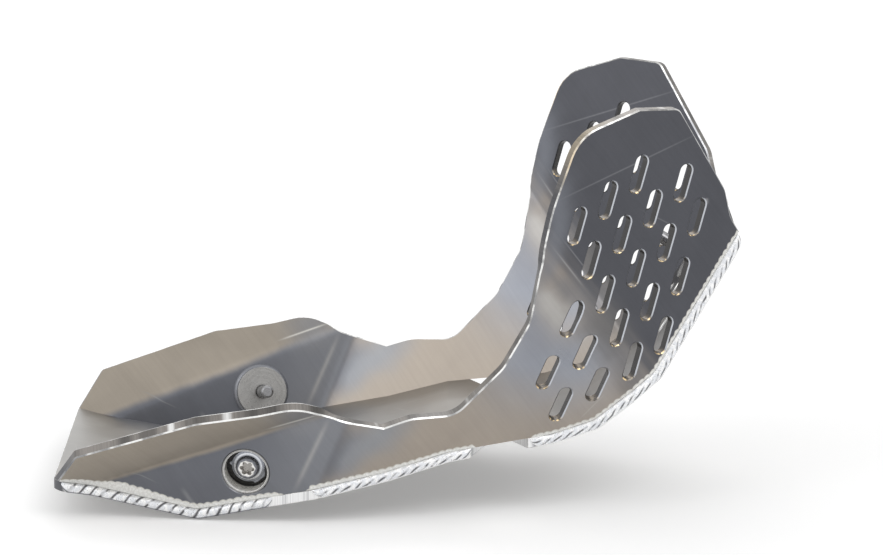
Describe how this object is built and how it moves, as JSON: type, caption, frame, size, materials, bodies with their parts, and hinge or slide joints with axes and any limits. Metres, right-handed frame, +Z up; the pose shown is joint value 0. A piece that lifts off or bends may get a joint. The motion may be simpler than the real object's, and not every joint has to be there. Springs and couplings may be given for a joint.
{
  "type": "skid plate",
  "caption": "Motorcycle skid plate of bent and welded aluminium sheet, with a stepped belly, slotted wings that rise beside the engine, and bolts sunk in welded cups.",
  "frame": {"origin": "start of the front bolt's thread, 0.3 mm behind the back of its mounting cup, on the centre plane", "axes": "+X forward, +Y to the left and +Z up, as mounted on the motorcycle"},
  "size_m": [0.3176, 0.221, 0.1903],
  "materials": {
    "plate": "mill finish, lightly brushed and scratched",
    "bead": "as welded, bright",
    "bolt": "zinc plated"
  },
  "bodies": {
    "root": {"centre_plate": "plate", "right_side_plate": "plate", "left_side_plate": "plate", "rear_bead_right": "bead", "middle_bead_right": "bead", "front_bead_right": "bead", "rear_bead_left": "bead", "middle_bead_left": "bead", "front_bead_left": "bead", "rear_cup_right": "plate", "rear_cup_left": "plate", "front_cup": "plate", "rear_cup_weld_right": "bead", "rear_cup_weld_left": "bead", "front_cup_weld": "bead", "rear_bolt_right": "bolt", "rear_bolt_left": "bolt", "front_bolt": "bolt"}
  },
  "joints": []
}
